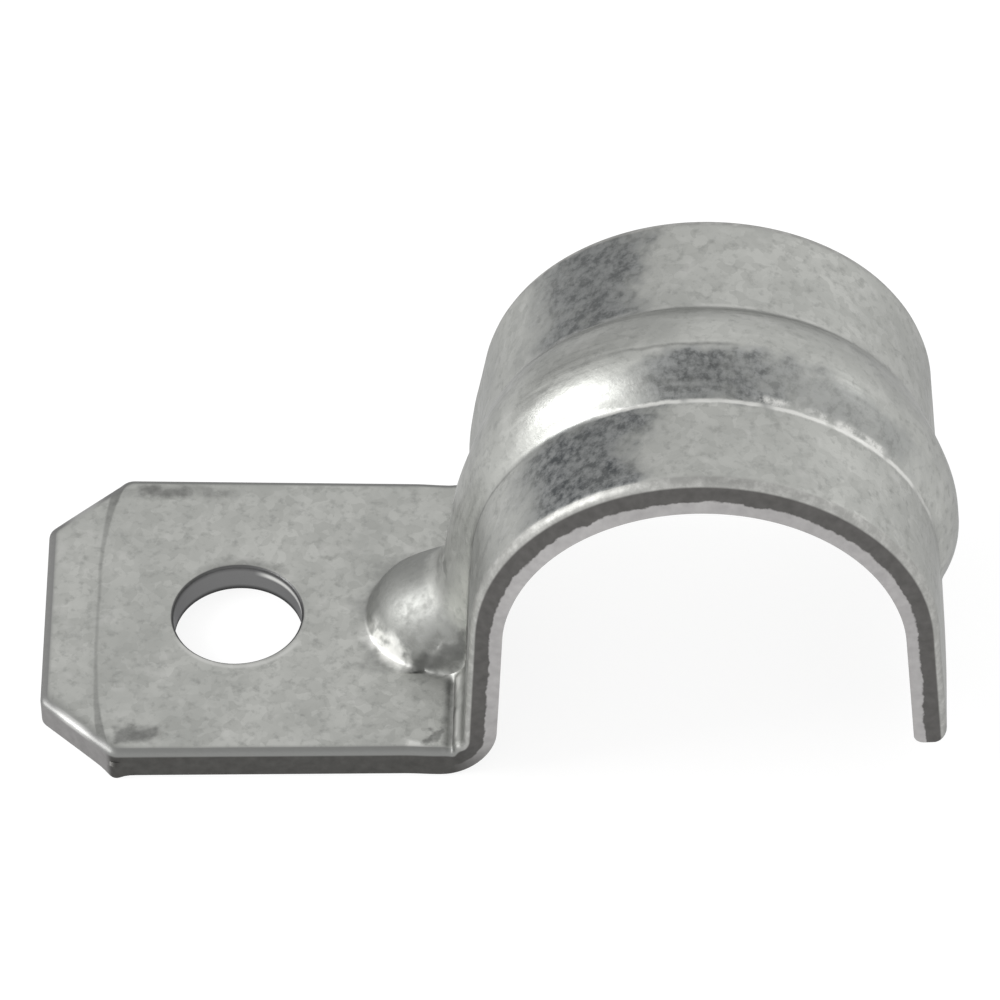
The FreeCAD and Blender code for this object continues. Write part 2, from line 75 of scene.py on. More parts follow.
SHEET = 0.0018
LEG_SPLAY = math.radians(3.5)
FOLD_RADIUS = 0.0013
FREE_LEG_GAP = 0.00265
CORNER_CUT_LENGTH = 0.0041
CORNER_CUT_WIDTH = 0.0038
CORNER_ROUNDING = 0.0009
EDGE_ROLL = 0.00060
ROLL_DEPTH = 0.00036
HOLE_ROLL = 0.00022
END_ROUNDING = 0.00055

saddle_outer = saddle_inner + SHEET
fold_centre_z = SHEET + FOLD_RADIUS
fold_start = saddle_x - (saddle_outer + FOLD_RADIUS
                         + math.sin(LEG_SPLAY) * (saddle_z - fold_centre_z)) / math.cos(LEG_SPLAY)
leg_length = ((saddle_x - fold_start) * math.sin(LEG_SPLAY)
              + (saddle_z - fold_centre_z) * math.cos(LEG_SPLAY))
free_leg_length = (saddle_z - FREE_LEG_GAP + saddle_inner * math.sin(LEG_SPLAY)) / math.cos(LEG_SPLAY)

# Lengths along the blank's upper face at which each bend starts and ends; the screw hole is at 0.
fold_finish = fold_start + FOLD_RADIUS * (math.pi / 2 - LEG_SPLAY)
saddle_start = fold_finish + leg_length
saddle_finish = saddle_start + saddle_outer * (math.pi - 2 * LEG_SPLAY)
blank_end = saddle_finish + free_leg_length


def graded(stops):
    """Numbers from the first stop to the last; each stop gives a place and the step wanted around it."""
    places = [stops[0][0]]
    for (a, step_a), (b, step_b) in zip(stops, stops[1:]):
        count = max(1, round((b - a) / ((step_a + step_b) / 2)))
        share = np.linspace(0, 1, count + 1)[1:]
        ease = step_a * share + (step_b - step_a) * share ** 2 / 2
        places.extend(a + (b - a) * ease / ease[-1])
    return np.array(places)


MM = 0.001
across_half = graded([(0, 0.13 * MM), (3.0 * MM, 0.12 * MM), (5.2 * MM, 0.11 * MM),
                      (half_width - EDGE_ROLL, 0.4 * MM)])
across_top = np.concatenate([-across_half[:0:-1], across_half])
across_bottom = across_top * half_width / (half_width - EDGE_ROLL)
patch_edge = 4.7 * MM
stations = graded([(patch_edge, 0.28 * MM), (6.0 * MM, 0.13 * MM), (fold_start, 0.12 * MM),
                   (fold_finish, 0.10 * MM), (fold_finish + 3.5 * MM, 0.12 * MM),
                   (saddle_start, 0.30 * MM), (saddle_finish, 0.30 * MM),
                   (blank_end - END_ROUNDING, 0.30 * MM)])
roll_turns = np.linspace(0, math.pi / 2, 6)[1:]
cut_depths = ROLL_DEPTH + (SHEET - ROLL_DEPTH) * np.linspace(0, 1, 11)[1:]
end_turns = np.linspace(0, math.pi / 2, 8)[1:]


class Blank:
    """Points as (along, across, below the upper face) and the faces between them."""

    def __init__(self):
        self.points = []
        self.faces = []

    def row(self, points):
        first = len(self.points)
        self.points.extend(points)
        return np.arange(first, len(self.points))

    def skin(self, rows, closed=False):
        """Quads between neighbouring rows of point numbers."""
        for a, b in zip(rows, rows[1:]):
            count = len(a) if closed else len(a) - 1
            for i in range(count):
                j = (i + 1) % len(a)
                self.faces.append((a[i], a[j], b[j], b[i]))


def edge_section():
    """Rolled edge and cut face: (distance in from the cut face, depth below the upper face)."""
    roll = [(EDGE_ROLL * (1 - math.sin(turn)), ROLL_DEPTH * (1 - math.cos(turn))) for turn in roll_turns]
    return roll + [(0.0, depth) for depth in cut_depths[:-1]]


side = edge_section()
blank = Blank()

# The strip from just past the hole to the free end: one closed section after another.
rows_top, rows_right, rows_bottom, rows_left = [], [], [], []
ends = [(station, 0.0) for station in stations]
ends += [(blank_end - END_ROUNDING * (1 - math.sin(turn)), END_ROUNDING * (1 - math.cos(turn)))
         for turn in end_turns]
for along, nip in ends:
    squeeze = (SHEET - 2 * nip) / SHEET
    rows_top.append(blank.row([(along, across, nip) for across in across_top]))
    rows_right.append(blank.row([(along, half_width - inset, nip + depth * squeeze)
                                 for inset, depth in side]))
    rows_bottom.append(blank.row([(along, across, nip + SHEET * squeeze) for across in across_bottom]))
    rows_left.append(blank.row([(along, inset - half_width, nip + depth * squeeze)
                                for inset, depth in side]))
blank.skin(rows_top)
blank.skin([row[::-1] for row in rows_bottom])
blank.skin([np.concatenate([[top[-1]], right, [bottom[-1]]])
            for top, right, bottom in zip(rows_top, rows_right, rows_bottom)])
blank.skin([np.concatenate([[bottom[0]], left[::-1], [top[0]]])
            for top, left, bottom in zip(rows_top, rows_left, rows_bottom)])

# The free end's face between its two rounded edges.
last_top, last_bottom = rows_top[-1], rows_bottom[-1]
blank.skin([last_top, last_bottom])
blank.faces.append(tuple(np.concatenate([[last_top[-1]], [last_bottom[-1]], rows_right[-1][::-1]])))
blank.faces.append(tuple(np.concatenate([[last_bottom[0]], [last_top[0]], rows_left[-1]])))


def foot_outline():
    """Plan outline of the foot with outward normals: back edge, clipped end, front edge."""
    corners = [(patch_edge, half_width), (foot_end + CORNER_CUT_LENGTH, half_width),
               (foot_end, half_width - CORNER_CUT_WIDTH), (foot_end, CORNER_CUT_WIDTH - half_width),
               (foot_end + CORNER_CUT_LENGTH, -half_width), (patch_edge, -half_width)]
    corners = [Vector(corner) for corner in corners]
    path = [(corners[0], Vector((0, 1)))]

    def run(start, finish, step):
        count = max(1, round((finish - start).length / step))
        heading = (finish - start).normalized()
        normal = Vector((heading.y, -heading.x))
        for k in range(1, count + 1):
            path.append((start.lerp(finish, k / count), normal))

    for before, corner, after in zip(corners, corners[1:], corners[2:]):
        into, out = (corner - before).normalized(), (after - corner).normalized()
        turn = into.angle(out)
        setback = CORNER_ROUNDING * math.tan(turn / 2)
        run(path[-1][0], corner - into * setback, 0.3 * MM)
        centre = corner - into * setback - Vector((into.y, -into.x)) * CORNER_ROUNDING
        first = math.atan2(-into.x, into.y)
        for k in range(1, 9):
            angle = first + turn * k / 8
            normal = Vector((math.cos(angle), math.sin(angle)))
            path.append((centre + normal * CORNER_ROUNDING, normal))
    run(path[-1][0], corners[-1], 0.3 * MM)
    return path[1:-1]


# The foot's end: rings from the hole out to the outline, above and below.
outline = foot_outline()
seam_top = [Vector((patch_edge, across)) for across in across_top]
seam_bottom = [Vector((patch_edge, across)) for across in across_bottom]
rim_top = seam_top + [place - normal * EDGE_ROLL for place, normal in outline]
rim_bottom = seam_bottom + [place for place, normal in outline]
ring_shares = 1 - (1 - np.linspace(0, 1, 25)) ** 1.25


def hole_rings(rim, clear, depth):
    """Rings between the hole's edge and a rim, the rim itself left out."""
    rings = []
    for share in ring_shares[:-1]:
        points = []
        for place in rim:
            start = place.normalized() * clear
            point = start.lerp(place, share)
            points.append((point.x, point.y, depth))
        rings.append(blank.row(points))
    return rings


rings_top = hole_rings(rim_top, hole_radius + HOLE_ROLL, 0.0)
rings_bottom = hole_rings(rim_bottom, hole_radius, SHEET)
outline_top = blank.row([(place.x - normal.x * EDGE_ROLL, place.y - normal.y * EDGE_ROLL, 0.0)
                         for place, normal in outline])
outline_bottom = blank.row([(place.x, place.y, SHEET) for place, normal in outline])
skirt = [blank.row([(place.x - normal.x * inset, place.y - normal.y * inset, depth)
                    for place, normal in outline]) for inset, depth in side]
blank.skin(rings_top + [np.concatenate([rows_top[0], outline_top])], closed=True)
blank.skin([ring[::-1] for ring in rings_bottom + [np.concatenate([rows_bottom[0], outline_bottom])]],
           closed=True)
edge_levels = [np.concatenate([[rows_top[0][-1]], outline_top, [rows_top[0][0]]])]
edge_levels += [np.concatenate([[rows_right[0][k]], level, [rows_left[0][k]]])
                for k, level in enumerate(skirt)]
edge_levels += [np.concatenate([[rows_bottom[0][-1]], outline_bottom, [rows_bottom[0][0]]])]
blank.skin(edge_levels)

# The hole's wall, rolled in at the top.
wall = [rings_top[0]]
for turn in roll_turns:
    radius = hole_radius + HOLE_ROLL * (1 - math.sin(turn))
    wall.append(blank.row([(radius * place.normalized().x, radius * place.normalized().y,
                            HOLE_ROLL * (1 - math.cos(turn))) for place in rim_top]))
for share in np.linspace(0, 1, 6)[1:-1]:
    points = []
    for place_above, place_below in zip(rim_top, rim_bottom):
        heading = place_above.normalized().lerp(place_below.normalized(), share).normalized()
        points.append((hole_radius * heading.x, hole_radius * heading.y,
                       HOLE_ROLL + (SHEET - HOLE_ROLL) * share))
    wall.append(blank.row(points))
wall.append(rings_bottom[0])
blank.skin(wall[::-1], closed=True)

blank_mesh = bpy.data.meshes.new("strap_blank")
flat = np.array(blank.points)
blank_mesh.from_pydata(flat * [1, 1, -1], [], [tuple(int(i) for i in face) for face in blank.faces])
blank_mesh.update()
blank_piece = bpy.data.objects.new("strap_blank", blank_mesh)
bpy.context.scene.collection.objects.link(blank_piece)

# ---------------------------------------------------------------------------
# Pressing and folding: the bead and its dome are pressed up out of the flat
# blank, the foot is folded off the leg, and the strip is wrapped over a round
# mandrel.  The sheet keeps its thickness, so the bead is hollow below.
# ---------------------------------------------------------------------------
press = bpy.data.node_groups.new("press_and_fold", "GeometryNodeTree")
press.interface.new_socket("Geometry", in_out="INPUT", socket_type="NodeSocketGeometry")
press.interface.new_socket("Geometry", in_out="OUTPUT", socket_type="NodeSocketGeometry")
press_in = press.nodes.new("NodeGroupInput")
press_out = press.nodes.new("NodeGroupOutput")
press_sizes = {}

BEAD_WIDTH = 0.0068
BEAD_OFF_CENTRE = -0.0003
BEAD_SWELL = 0.38
SWELL_MARGIN = 0.0010
STEPS_IN = 12
BORDER_ALONG = 0.0076
BORDER_BOW = 0.00062
BORDER_CORNER = 0.0089
BORDER_POWER = 3.5


class Field:
    """A number at each point of the tree; plain arithmetic on it adds Math nodes."""

    def __init__(self, socket):
        self.socket = socket

    def __add__(self, other):
        return math_node("ADD", self, other)

    def __radd__(self, other):
        return math_node("ADD", other, self)

    def __sub__(self, other):
        return math_node("SUBTRACT", self, other)

    def __rsub__(self, other):
        return math_node("SUBTRACT", other, self)

    def __mul__(self, other):
        return math_node("MULTIPLY", self, other)

    def __rmul__(self, other):
        return math_node("MULTIPLY", other, self)

    def __truediv__(self, other):
        return math_node("DIVIDE", self, other)

    def __neg__(self):
        return math_node("MULTIPLY", self, -1.0)


def feed(socket, value):
    if isinstance(value, Field):
        press.links.new(value.socket, socket)
    else:
        socket.default_value = value


def math_node(operation, *values):
    node = press.nodes.new("ShaderNodeMath")
    node.operation = operation
    for socket, value in zip(node.inputs, values):
        feed(socket, value)
    return Field(node.outputs[0])


def sine(angle):
    return math_node("SINE", angle)


def cosine(angle):
    return math_node("COSINE", angle)


def root(value):
    return math_node("SQRT", value)


def least(a, b):
    return math_node("MINIMUM", a, b)


def most(a, b):
    return math_node("MAXIMUM", a, b)


def between(value, low, high):
    return least(most(value, low), high)


def soft_most(a, b, blend):
    return math_node("SMOOTH_MAX", a, b, blend)


def soft_least(a, b, blend):
    return math_node("SMOOTH_MIN", a, b, blend)


def above(value, limit):
    """1 where value is over the limit, else 0."""
    return math_node("GREATER_THAN", value, limit)


def ramp(value, start, finish):
    """Eases from 0 at start to 1 at finish."""
    share = between((value - start) / (finish - start), 0.0, 1.0)
    return share * share * (3.0 - 2.0 * share)


def press_size(name, value):
    """A named input of the tree."""
    socket = press.interface.new_socket(name, in_out="INPUT", socket_type="NodeSocketFloat")
    socket.default_value = value
    press_sizes[socket.identifier] = value
    return Field(press_in.outputs[name])


sheet = press_size("Sheet thickness", SHEET)
splay = press_size("Leg splay", LEG_SPLAY)
fold_radius = press_size("Fold radius", FOLD_RADIUS)
mandrel_radius = press_size("Saddle inside radius", saddle_inner)
axis_x = press_size("Hole to saddle", saddle_x)
axis_z = press_size("Saddle axis height", saddle_z)
bead_width = press_size("Bead width", BEAD_WIDTH)
bead_height = press_size("Bead height", 0.00115)
bead_reach = press_size("Bead reach on free leg", free_leg_length - 0.0074)
bead_line = press_size("Bead off centre", BEAD_OFF_CENTRE)
bead_blend = press_size("Bead crease blend", 0.00025)
dome_radius = press_size("Dome radius", 0.0042)
dome_offset = press_size("Dome offset", 0.0014)
dome_height = press_size("Dome centre height", 0.0009)
dome_blend = press_size("Dome blend into bead", 0.0034)
foot_blend = press_size("Dome blend into foot", 0.0006)
fan_reach = press_size("Draw fan reach", 0.0075)
edge_spread = press_size("Edge spread at saddle", 0.00032)
fold_spread = press_size("Edge spread at fold", 0.00040)
foot_flare = press_size("Foot flare", 1.25)
foot_skew = press_size("Foot end skew", 0.017)
saddle_taper = press_size("Saddle taper", 0.00033)
wave_height = press_size("Hand waviness", 0.00006)

position = press.nodes.new("GeometryNodeInputPosition")
flat_place = press.nodes.new("ShaderNodeSeparateXYZ")
press.links.new(position.outputs[0], flat_place.inputs[0])
along = Field(flat_place.outputs["X"])
across = Field(flat_place.outputs["Y"])
depth = -Field(flat_place.outputs["Z"])
lower = above(depth, sheet / 2)

# Where the upper face goes: foot, fold, leg, saddle and free leg, each tangent to the next.
outer = mandrel_radius + sheet
lean_sin, lean_cos = sine(splay), cosine(splay)
fold_z = sheet + fold_radius
fold_x = axis_x - (outer + fold_radius + lean_sin * (axis_z - fold_z)) / lean_cos
fold_turn = math.pi / 2 - splay
past_fold = along - fold_x
turned_up = between(past_fold / fold_radius, 0.0, fold_turn)
leg_run = (axis_x - fold_x) * lean_sin + (axis_z - fold_z) * lean_cos
up_leg = past_fold - fold_radius * fold_turn
on_leg = between(up_leg, 0.0, leg_run)
over = up_leg - leg_run
turned_over = between(over / outer, 0.0, math.pi - 2.0 * splay)
down_leg = most(over - outer * (math.pi - 2.0 * splay), 0.0)
spring = math.pi - splay
swing = spring - turned_over
face_x = (least(along, fold_x) + fold_radius * sine(turned_up) + on_leg * lean_sin
          + outer * (cosine(swing) + lean_cos) + down_leg * lean_sin)
face_z = (sheet + fold_radius * (1.0 - cosine(turned_up)) + on_leg * lean_cos
          + outer * (sine(swing) - lean_sin) - down_leg * lean_cos)
tilt = math.pi / 2 + turned_up - turned_over
normal_x, normal_z = cosine(tilt), sine(tilt)
base_x = face_x - normal_x * depth
base_z = face_z - normal_z * depth

# In the inside corner the metal is drawn towards one point above the fold, so that it
# doesn't cross itself.
fan_z = sheet + fan_reach
fan_x = axis_x - (outer + fan_reach + lean_sin * (axis_z - fan_z)) / lean_cos
fan_top = (fan_x - fold_x) * lean_sin + (fan_z - fold_z) * lean_cos
in_fan = above(along, fan_x) * above(fan_top, up_leg)
to_fan_x, to_fan_z = fan_x - base_x, fan_z - base_z
fan_length = root(to_fan_x * to_fan_x + to_fan_z * to_fan_z)
draw_x = normal_x + in_fan * (to_fan_x / fan_length - normal_x)
draw_z = normal_z + in_fan * (to_fan_z / fan_length - normal_z)

# The bead: a round section, closed by a ball end on the free leg.
bead_full = bead_height * (1.0 - 0.28 * ramp(over, -0.0005, 0.0030) * (1.0 - ramp(over, 0.0030, 0.0095))
                           + BEAD_SWELL * (1.0 - ramp(up_leg, SWELL_MARGIN, leg_run + SWELL_MARGIN))
                           - 0.30 * ramp(over, 0.0260, 0.0310) * (1.0 - ramp(over, 0.0335, 0.0385)))
form = (bead_width * bead_width / 4.0 + bead_full * bead_full) / (2.0 * bead_full)
form_depth = form - bead_full
past_ball = most(down_leg - bead_reach, 0.0)
round_radius = form - lower * sheet
off_line = across - bead_line
bead_rise = root(most(round_radius * round_radius - off_line * off_line - past_ball * past_ball, 0.0)) \
    - (form_depth - lower * sheet)
from_leg = most((axis_x - base_x) * lean_cos + (base_z - axis_z) * lean_sin - outer + lower * sheet, 0.0) \
    * above(fold_x + 0.02, along)
draw_out = draw_z * lean_sin - draw_x * lean_cos
leg_share = draw_out + (1.0 - draw_out) * above(up_leg, fan_top)
bead_lift = (bead_rise - from_leg) / most(leg_share, 0.05)

# The dome: a ball pushed up through foot and leg in the corner, running smoothly into the
# bead.  In the corner the surface is found by stepping in from the drawing point, each time
# by the gap left to dome and bead.
dome_x = axis_x - outer / lean_cos - (axis_z - sheet) * lean_sin / lean_cos - dome_offset
ball_radius = dome_radius - lower * sheet


def gap_to_body(x, z):
    """How far a point of the sheet still is from the smooth union of dome and bead."""
    ball_x, ball_z = x - dome_x, z - dome_height
    ball = root(ball_x * ball_x + across * across + ball_z * ball_z) - ball_radius
    out_of_leg = (axis_x - x) * lean_cos + (z - axis_z) * lean_sin - outer
    up = leg_run + (x - axis_x) * lean_sin + (z - axis_z) * lean_cos
    height = bead_height * (1.0 + BEAD_SWELL * (1.0 - ramp(up, SWELL_MARGIN, leg_run + SWELL_MARGIN)))
    section = (bead_width * bead_width / 4.0 + height * height) / (2.0 * height)
    above_line = most(out_of_leg + section - height, 0.0)
    bead = root(off_line * off_line + above_line * above_line) - section + lower * sheet
    return soft_least(ball, bead, dome_blend)


reach_out = fan_length
for _ in range(STEPS_IN):
    reach_out = reach_out - gap_to_body(base_x + draw_x * reach_out, base_z + draw_z * reach_out)
rise = bead_lift + in_fan * (reach_out - bead_lift)
rise = soft_most(rise, 0.0, bead_blend + (foot_blend - bead_blend) * ramp(0.0 - up_leg, -0.001, 0.002))


def dent(distance, width):
    """A smooth groove's depth share at a distance from its middle."""
    share = distance / width
    return math_node("EXPONENT", -(share * share))


# Puckers where the fold pinches the sheet: a nip along the inside of the fold on both sides
# of the dome, and a short split-like wrinkle at the dome's front.
to_edge = math_node("ABSOLUTE", across)
beside_dome = ramp(to_edge, 0.0044, 0.0050)
nip = dent(past_fold - 0.00052, 0.00018) * 0.00015 - dent(past_fold - 0.00100, 0.00020) * 0.00009
wrinkle = dent(across + 0.00395 - (along - 0.0105) * 0.22, 0.00013) * ramp(along, 0.0088, 0.0100) \
    * (1.0 - ramp(along, 0.0124, 0.0132)) * 0.00022
# The die's border shows as a shallow step across the foot's end.
border = along + BORDER_ALONG - BORDER_BOW * math_node("POWER", to_edge / BORDER_CORNER, BORDER_POWER)
step = (1.0 - ramp(border, -0.0004, 0.0002)) * 0.00005 + dent(border, 0.00016) * 0.00003
rise = rise - above(sheet * 0.3, depth) * (nip * beside_dome + wrinkle + step)

# Bending spreads the edge on the squeezed face and draws it in on the stretched one.
past_saddle = over - outer * (math.pi - 2.0 * splay)
saddle_bend = ramp(over, -0.002, 0.004) * (1.0 - ramp(past_saddle, -0.004, 0.002))
fold_bend = ramp(past_fold, 0.0, 0.0019) * (1.0 - ramp(up_leg, 0.0004, 0.0030))
near_edge = ramp(to_edge, 0.0066, 0.0100)
side_of_strip = math_node("SIGN", across)
spread = near_edge * side_of_strip * (2.0 * depth / sheet - 1.0) \
    * (edge_spread * saddle_bend - fold_spread * fold_bend)
burr = dent(along + 0.0063, 0.0005) * above(-0.0090, across) * above(depth, sheet * 0.5) * 0.00022
foot_run = most(fold_x - along, 0.0)
final_y = across * (1.0 + foot_flare * foot_run) + spread - burr + 0.00008 * ramp(foot_run, 0.0, 0.002)

# A faint waviness of the upper face.
wave = press.nodes.new("ShaderNodeTexNoise")
wave.inputs["Scale"].default_value = 160.0
wave.inputs["Detail"].default_value = 1.0
press.links.new(position.outputs[0], wave.inputs["Vector"])
ripple = (Field(wave.outputs["Fac"]) - 0.5) * wave_height * above(sheet * 0.05, depth)

formed_x = base_x + draw_x * (rise + ripple)
formed_z = base_z + draw_z * (rise + ripple)

# The leg leans out a little low down, towards its back edge.
lean_out = 0.00026 * ramp(up_leg, 0.0, 0.0025) * (1.0 - ramp(up_leg, 0.0030, 0.0072)) \
    * ramp(across, 0.0020, 0.0100)
formed_x = formed_x - lean_out

# Nothing comes off the press quite true: the foot's end is a little skew, and the saddle a little
# tighter at the back than at the front.
end_share = ramp(0.0 - along, 0.0035, 0.0110)
formed_x = formed_x - 0.009 * foot_run + end_share * (0.00013 - foot_skew * most(across + 0.0100, 0.0))
from_axis_x = formed_x - axis_x
from_axis_z = most(formed_z - axis_z, 0.0)
from_axis = most(root(from_axis_x * from_axis_x + from_axis_z * from_axis_z), 0.001)
sideways = from_axis_x / from_axis
sideways = sideways * sideways
tighter = saddle_taper * ramp(across, -0.0060, 0.0100) \
    * (0.15 + 0.85 * sideways * (1.0 - (1.0 - sideways) * above(formed_x, axis_x))) \
    * (1.0 - (1.0 - ramp(formed_z, 0.0085, 0.0125)) * above(axis_x, formed_x)) \
    * above(formed_z, 0.0001) / from_axis
formed = press.nodes.new("ShaderNodeCombineXYZ")
feed(formed.inputs["X"], formed_x - from_axis_x * tighter)
feed(formed.inputs["Y"], final_y)
feed(formed.inputs["Z"], formed_z - from_axis_z * tighter)


def store(geometry, name, field):
    node = press.nodes.new("GeometryNodeStoreNamedAttribute")
    node.data_type = "FLOAT"
    node.domain = "POINT"
    node.inputs["Name"].default_value = name
    press.links.new(geometry, node.inputs["Geometry"])
    press.links.new(field.socket, node.inputs["Value"])
    return node.outputs["Geometry"]


geometry = store(press_in.outputs["Geometry"], "depth_in_sheet", depth / sheet)
geometry = store(geometry, "along_strip", along)
geometry = store(geometry, "across_strip", across)
place = press.nodes.new("GeometryNodeSetPosition")
press.links.new(geometry, place.inputs["Geometry"])
press.links.new(formed.outputs[0], place.inputs["Position"])
realize = press.nodes.new("GeometryNodeRealizeInstances")
press.links.new(place.outputs[0], realize.inputs[0])
coat = press.nodes.new("GeometryNodeSetMaterial")
press.links.new(realize.outputs[0], coat.inputs["Geometry"])
press.links.new(coat.outputs[0], press_out.inputs[0])

# ---------------------------------------------------------------------------
# Galvanised finish: zinc over steel, dull grey and softly mottled, with painted
# highlights on the high places, painted shade in the creases and painted dark
# reflections in patches.  The sheared faces show a dark burnished band under the rolled
# edge and a paler torn band with a ragged border below it.
# ---------------------------------------------------------------------------
zinc = bpy.data.materials.new("galvanised_steel")
zinc.use_nodes = True
zinc_nodes, zinc_links = zinc.node_tree.nodes, zinc.node_tree.links
zinc_shader = zinc_nodes["Principled BSDF"]
zinc_shader.inputs["Metallic"].default_value = 1.0
zinc_shader.inputs["Specular Tint"].default_value = (0.55, 0.55, 0.56, 1)


def zinc_node(kind, **settings):
    node = zinc_nodes.new(kind)
    for name, value in settings.items():
        setattr(node, name, value)
    return node


def zinc_link(source, target):
    zinc_links.new(source, target)


object_place = zinc_node("ShaderNodeTexCoord")


def zinc_noise(scale, detail=2.0, roughness=0.5, vector=None):
    node = zinc_node("ShaderNodeTexNoise")
    node.inputs["Scale"].default_value = scale
    node.inputs["Detail"].default_value = detail
    node.inputs["Roughness"].default_value = roughness
    zinc_link(vector or object_place.outputs["Object"], node.inputs["Vector"])
    return node.outputs["Fac"]


def zinc_ramp(source, *stops):
    node = zinc_node("ShaderNodeValToRGB")
    band = node.color_ramp
    while len(band.elements) < len(stops):
        band.elements.new(0.5)
    for element, (place_on_band, shade) in zip(band.elements, stops):
        element.position = place_on_band
        element.color = (shade, shade, shade, 1)
    zinc_link(source, node.inputs["Fac"])
    return node.outputs["Color"]


def zinc_mix(factor, a, b):
    node = zinc_node("ShaderNodeMix", data_type="RGBA")
    for socket, value in ((node.inputs[0], factor), (node.inputs[6], a), (node.inputs[7], b)):
        if hasattr(value, "is_linked"):
            zinc_link(value, socket)
        elif isinstance(value, tuple):
            socket.default_value = (*value, 1)
        else:
            socket.default_value = value
    return node.outputs[2]


def zinc_math(operation, *values):
    node = zinc_node("ShaderNodeMath", operation=operation)
    for socket, value in zip(node.inputs, values):
        if hasattr(value, "is_linked"):
            zinc_link(value, socket)
        else:
            socket.default_value = value
    return node.outputs[0]


def zinc_plus(a, b):
    return zinc_math("ADD", a, b)


def zinc_times(a, b):
    return zinc_math("MULTIPLY", a, b)


def zinc_not(mask):
    return zinc_math("SUBTRACT", 1.0, mask)


def zinc_most(*masks):
    """The strongest of the masks at each point."""
    result = masks[0]
    for mask in masks[1:]:
        result = zinc_math("MAXIMUM", result, mask)
    return result


def strip_attribute(name):
    node = zinc_node("ShaderNodeAttribute", attribute_name=name, attribute_type="GEOMETRY")
    return node.outputs["Fac"]


def zinc_step(value, low, high):
    """Eases from 0 where value is low to 1 where it is high."""
    node = zinc_node("ShaderNodeMapRange", interpolation_type="SMOOTHSTEP")
    zinc_link(value, node.inputs["Value"])
    node.inputs["From Min"].default_value = low
    node.inputs["From Max"].default_value = high
    return node.outputs["Result"]


def zinc_band(value, low, high, soft):
    """1 between low and high, easing to 0 outside."""
    return zinc_math("SUBTRACT", zinc_step(value, low - soft, low + soft),
                     zinc_step(value, high - soft, high + soft))


def zinc_both(*masks):
    result = masks[0]
    for mask in masks[1:]:
        result = zinc_times(result, mask)
    return result


def zinc_wander(value, scale, amount):
    """The value with a wandering error, so that a border drawn on it isn't straight."""
    error = zinc_math("SUBTRACT", zinc_noise(scale, 3.0, 0.6), 0.5)
    return zinc_plus(value, zinc_times(error, amount))


depth_in_sheet = strip_attribute("depth_in_sheet")
strip_x = strip_attribute("along_strip")
strip_y = strip_attribute("across_strip")
upper = zinc_math("LESS_THAN", depth_in_sheet, 0.08)
above_lower_face = zinc_math("LESS_THAN", depth_in_sheet, 0.999)
cut_face = zinc_both(zinc_step(depth_in_sheet, 0.15, 0.22), above_lower_face)
from_hole = zinc_node("ShaderNodeVectorMath", operation="LENGTH")
flat_way = zinc_node("ShaderNodeVectorMath", operation="MULTIPLY")
flat_way.inputs[1].default_value = (1, 1, 0)
zinc_link(object_place.outputs["Object"], flat_way.inputs[0])
zinc_link(flat_way.outputs[0], from_hole.inputs[0])
hole_way = from_hole.outputs["Value"]
in_hole = zinc_math("LESS_THAN", hole_way, hole_radius + 0.0007)

# Zinc crystals: small irregular patches, each a shade lighter or darker than its neighbours.
warp = zinc_node("ShaderNodeTexNoise")
warp.inputs["Scale"].default_value = 900.0
warp.inputs["Detail"].default_value = 2.0
zinc_link(object_place.outputs["Object"], warp.inputs["Vector"])
warped = zinc_node("ShaderNodeVectorMath", operation="MULTIPLY_ADD")
warped.inputs[1].default_value = (0.0011, 0.0011, 0.0011)
zinc_link(warp.outputs["Color"], warped.inputs[0])
zinc_link(object_place.outputs["Object"], warped.inputs[2])
spangle = zinc_node("ShaderNodeTexVoronoi")
spangle.inputs["Scale"].default_value = 1600.0
zinc_link(warped.outputs[0], spangle.inputs["Vector"])
spangle_shade = zinc_node("ShaderNodeSeparateColor")
zinc_link(spangle.outputs["Color"], spangle_shade.inputs[0])
crystal = spangle_shade.outputs[0]
cloud = zinc_noise(210.0, 3.0, 0.6)
fleck = zinc_noise(1750.0, 3.5, 0.68)
pale_specks = zinc_ramp(zinc_noise(760.0, 2.0), (0.58, 0.0), (0.78, 0.45))
light_coat = zinc_mix(zinc_ramp(cloud, (0.30, 0.0), (0.68, 1.0)), (0.415, 0.421, 0.401),
                      (0.520, 0.524, 0.500))
light_coat = zinc_mix(zinc_times(crystal, 0.34), light_coat, (0.34, 0.345, 0.328))
light_coat = zinc_mix(zinc_ramp(fleck, (0.52, 0.0), (0.72, 0.60)), light_coat, (0.28, 0.285, 0.272))
light_coat = zinc_mix(pale_specks, light_coat, (0.58, 0.58, 0.56))

# Dull blue-grey mottled patches, painted darker as dark reflections of the room: on the
# saddle's shoulder, on the bead's crown and, fainter, on the dome.
BEAD_FRONT, BEAD_BACK = BEAD_OFF_CENTRE - BEAD_WIDTH / 2, BEAD_OFF_CENTRE + BEAD_WIDTH / 2
dull_x = zinc_wander(zinc_wander(strip_x, 300.0, 0.0050), 1100.0, 0.0018)
dull_y = zinc_wander(strip_y, 900.0, 0.0013)
past_bead = zinc_not(zinc_band(strip_y, BEAD_FRONT, BEAD_BACK, 0.0001))
shoulder = zinc_both(zinc_step(dull_x, 0.0272, 0.0325), zinc_not(zinc_step(dull_x, 0.0360, 0.0380)),
                     past_bead)
crown_y = zinc_plus(dull_y, zinc_times(zinc_step(strip_x, 0.0400, 0.0340), 0.0016))
crown = zinc_both(zinc_step(dull_x, 0.0345, 0.0395), zinc_not(zinc_step(dull_x, 0.0425, 0.0485)),
                  zinc_band(crown_y, -0.0038, -0.0009, 0.0004))
crown_side = zinc_both(zinc_band(dull_x, 0.0445, 0.0535, 0.0020),
                       zinc_band(dull_y, -0.0036, -0.0016, 0.0005))
